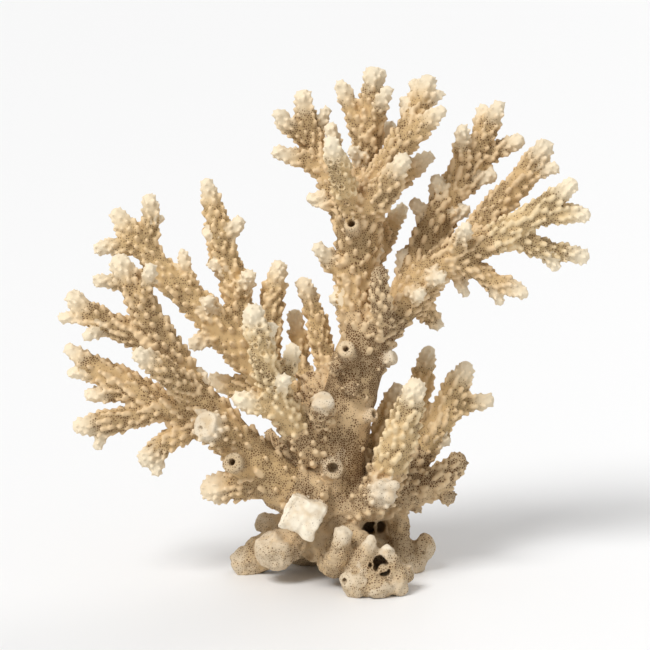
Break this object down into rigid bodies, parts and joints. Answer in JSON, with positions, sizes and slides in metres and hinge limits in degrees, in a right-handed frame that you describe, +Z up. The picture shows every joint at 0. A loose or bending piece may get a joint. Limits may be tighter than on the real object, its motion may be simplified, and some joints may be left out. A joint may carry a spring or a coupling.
{
  "type": "branching coral",
  "caption": "Bleached branching coral skeleton with knobbly twigs, a thick trunk and a broken flat-cut holdfast that it stands on.",
  "frame": {"origin": "centre of the object's box in plan, at the level of the flat cut that it rests on", "axes": "+X to the right of the front view along the fan, +Y to the back, +Z up"},
  "size_m": [0.21, 0.086, 0.2061],
  "materials": {
    "bone": "matt porous limestone",
    "sand": "matt porous limestone",
    "tan": "matt porous limestone",
    "cream": "matt porous limestone"
  },
  "bodies": {
    "root": {"trunk": "bone", "left_arm": "sand", "left_arm_upper": "sand", "left_arm_finger": "sand", "left_arm_lower": "sand", "crown_stem": "sand", "crown_left": "sand", "crown_middle": "sand", "crown_right": "sand", "right_arm": "sand", "right_arm_upper": "sand", "right_arm_high": "sand", "back_branch": "sand", "back_branch_left": "sand", "back_branch_right": "sand", "left_fan": "tan", "left_spire": "tan", "inner_twig_tall": "tan", "inner_twig_short": "tan", "low_right_branch": "tan", "low_right_back_spire": "tan", "low_right_back_twig": "tan", "front_branch": "cream", "crown_front": "cream", "right_arm_tip": "cream", "low_right_front_spire": "cream"}
  },
  "joints": []
}
